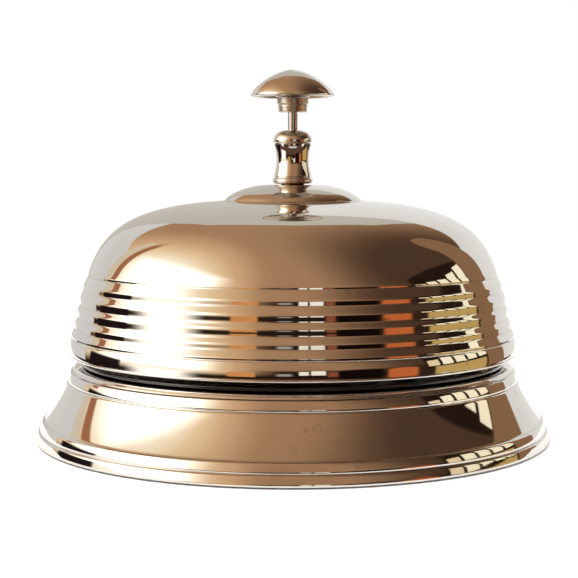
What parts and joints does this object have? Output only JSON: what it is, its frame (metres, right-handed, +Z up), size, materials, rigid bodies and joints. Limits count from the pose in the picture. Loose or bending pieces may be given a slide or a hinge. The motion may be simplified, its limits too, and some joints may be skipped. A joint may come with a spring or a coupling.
{
  "type": "service bell",
  "caption": "Spring-plunger reception bell: polished ribbed gong on a flared spun base, with a finial and mushroom knob on a thin rod that works an inner striker.",
  "frame": {"origin": "middle of the felt pad's underside, on the surface the bell stands on", "axes": "+Z up along the axis of the gong, rod and knob; +X towards the side where the hammer hangs; +Y towards the back"},
  "size_m": [0.127, 0.127, 0.0908],
  "materials": {
    "polished_nickel": "bright polished nickel plate with faint swirl scratches",
    "black_enamel": "glossy black enamel on steel",
    "zinc_steel": "zinc plated, satin",
    "bright_steel": "bright turned steel",
    "spring_steel": "drawn spring wire",
    "brass": "turned brass",
    "red_fibre": "vulcanised fibre",
    "black_rubber": "matt moulded rubber",
    "green_felt": "pressed wool felt"
  },
  "bodies": {
    "frame": {"base_skirt": "polished_nickel", "deck_plate": "black_enamel", "bottom_cover": "zinc_steel", "foot_pad": "green_felt", "standoff_1": "zinc_steel", "standoff_2": "zinc_steel", "standoff_3": "zinc_steel", "cover_screw_1": "zinc_steel", "cover_screw_2": "zinc_steel", "cover_screw_3": "zinc_steel", "gong": "polished_nickel", "finial": "polished_nickel", "yoke_frame": "zinc_steel", "yoke_rivet_1": "bright_steel", "yoke_rivet_2": "bright_steel", "yoke_rivet_3": "bright_steel", "yoke_rivet_4": "bright_steel", "lower_guide": "zinc_steel", "stud_tube": "brass", "stud_lower_nut": "brass", "stud_upper_nut": "brass", "gong_collar": "brass", "seat_washer": "red_fibre", "pivot_pin": "bright_steel", "pivot_clip": "spring_steel", "pivot_spacer_front": "brass", "pivot_spacer_back": "brass", "rest_buffer": "black_rubber", "return_spring": "spring_steel"},
    "plunger": {"spring_cup": "brass"},
    "spinner": {"plunger_rod": "bright_steel", "knob": "polished_nickel", "knob_ferrule": "polished_nickel", "retaining_clip": "spring_steel"},
    "striker": {"striker_lever": "bright_steel", "hammer_arm": "spring_steel", "arm_set_screw": "bright_steel", "hammer_head": "brass"}
  },
  "joints": [
    {"name": "plunger_press", "type": "slide", "parent": "frame", "child": "plunger", "axis": [0, 0, -1], "range_m": [0, 0.0036], "stiffness_N_per_m": 400, "springref_m": -0.006, "deforming": ["return_spring"]},
    {"name": "knob_spin", "type": "hinge", "parent": "plunger", "child": "spinner", "pos_m": [0, 0, 0.0608], "axis": [0, 0, 1], "continuous": true},
    {"name": "striker_swing", "type": "hinge", "parent": "frame", "child": "striker", "pos_m": [0.009, 0, 0.0308], "axis": [0, -1, 0], "range_deg": [0, 24]}
  ],
  "couplings": [
    {"joint": "striker_swing", "follows": "plunger_press", "rad_per_m": 114}
  ]
}
